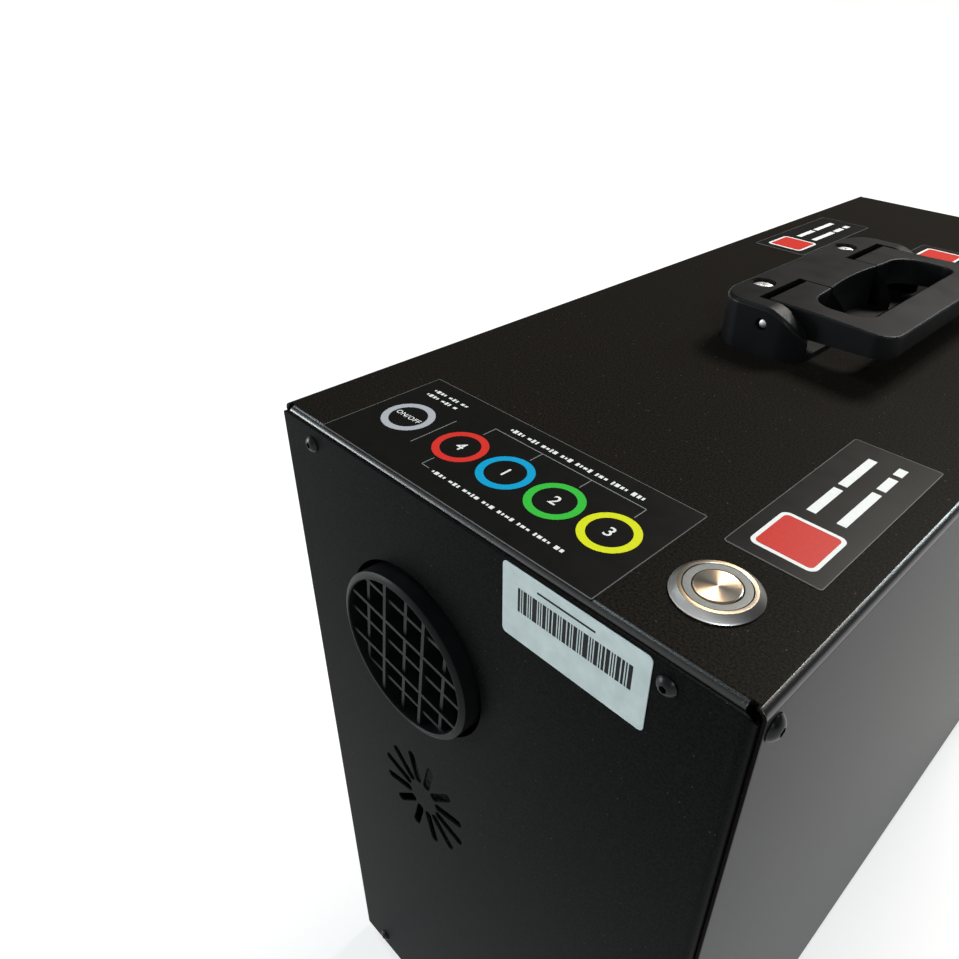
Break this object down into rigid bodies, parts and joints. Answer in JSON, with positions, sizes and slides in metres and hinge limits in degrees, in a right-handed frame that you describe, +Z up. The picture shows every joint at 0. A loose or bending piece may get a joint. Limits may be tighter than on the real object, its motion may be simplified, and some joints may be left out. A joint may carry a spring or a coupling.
{
  "type": "diesel air heater",
  "caption": "Portable diesel air heater in a folded black sheet-steel case with a hot-air outlet, push button, fuel tank and folding carry handle.",
  "frame": {"origin": "on the floor under the feet, at the middle of the whole part's length and width", "axes": "+Z up, +Y from the hot-air outlet's face towards the rear panel, +X to the right seen from the front"},
  "size_m": [0.1964, 0.4742, 0.37],
  "materials": {
    "case_powder": "fine-textured black powder coat",
    "foot_rubber": "matt",
    "black_screw": "black oxide, semi-gloss",
    "black_film": "satin printed film",
    "pale_label": "satin printed film",
    "stainless_steel": "spun and brushed",
    "light_ring": "translucent, unlit",
    "zinc_steel": "zinc plated",
    "handle_plastic": "fine-textured moulding",
    "duct_plastic": "smooth moulding",
    "casing_plastic": "moulded, glass-filled",
    "cast_aluminium": "as cast",
    "fan_plastic": "moulded",
    "hose_rubber": "matt",
    "tank_plastic": "natural blow moulding",
    "fitting_plastic": "fine-textured moulding",
    "fuel_line": "smooth tube"
  },
  "bodies": {
    "root": {"cover": "case_powder", "front_panel": "case_powder", "rear_panel": "case_powder", "base_tray": "case_powder", "divider_shelf": "case_powder", "foot_front_left": "foot_rubber", "foot_front_right": "foot_rubber", "foot_rear_left": "foot_rubber", "foot_rear_right": "foot_rubber", "front_screw_top_left": "black_screw", "front_screw_top_right": "black_screw", "front_screw_low_left": "black_screw", "front_screw_low_right": "black_screw", "rear_screw_top_left": "black_screw", "rear_screw_top_right": "black_screw", "rear_screw_low_left": "black_screw", "rear_screw_low_right": "black_screw", "left_screw_front": "black_screw", "left_screw_rear": "black_screw", "right_screw_front": "black_screw", "right_screw_rear": "black_screw", "legend_film": "black_film", "notice_film": "black_film", "front_label": "pale_label", "button_bezel": "stainless_steel", "button_light_ring": "light_ring", "button_nut": "zinc_steel", "handle_base": "handle_plastic", "handle_pin_front": "zinc_steel", "handle_pin_rear": "zinc_steel", "handle_screw_front": "zinc_steel", "handle_screw_rear": "zinc_steel", "outlet_collar": "duct_plastic", "outlet_hood": "duct_plastic", "heater_casing_upper": "casing_plastic", "heater_casing_lower": "casing_plastic", "heat_exchanger": "cast_aluminium", "burner_tube": "stainless_steel", "glow_plug": "zinc_steel", "blower_plate": "cast_aluminium", "fan_motor": "zinc_steel", "inlet_guard": "casing_plastic", "control_unit": "casing_plastic", "exhaust_pipe": "stainless_steel", "combustion_air_pipe": "hose_rubber", "fuel_tank": "tank_plastic", "filler_neck": "fitting_plastic", "fuel_pickup": "fitting_plastic", "fuel_pump": "zinc_steel", "pump_bracket": "zinc_steel", "fuel_line_suction": "fuel_line", "fuel_line_pressure": "fuel_line", "intake_grille": "fitting_plastic", "power_socket": "fitting_plastic"},
    "carry_bail": {"handle_bail": "handle_plastic"},
    "push_button": {"button_cap": "stainless_steel"},
    "fan_rotor": {"rotor_shaft": "stainless_steel", "combustion_fan": "fan_plastic", "hot_air_fan": "fan_plastic"},
    "fuel_cap": {"filler_cap": "fitting_plastic"}
  },
  "joints": [
    {"name": "handle_lift", "type": "hinge", "parent": "root", "child": "carry_bail", "pos_m": [-0.0046, -0.0072, 0.3627], "axis": [0, -1, 0], "range_deg": [0, 85]},
    {"name": "button_press", "type": "slide", "parent": "root", "child": "push_button", "axis": [0, 0, -1], "range_m": [0, 0.0012], "stiffness_N_per_m": 2000, "springref_m": -0.0003},
    {"name": "fan_spin", "type": "hinge", "parent": "root", "child": "fan_rotor", "pos_m": [-0.0267, -0.0072, 0.2809], "axis": [0, 1, 0], "continuous": true},
    {"name": "cap_turn", "type": "hinge", "parent": "root", "child": "fuel_cap", "pos_m": [0.048, -0.0072, 0.182], "axis": [0, 1, 0], "range_deg": [0, 90]}
  ]
}
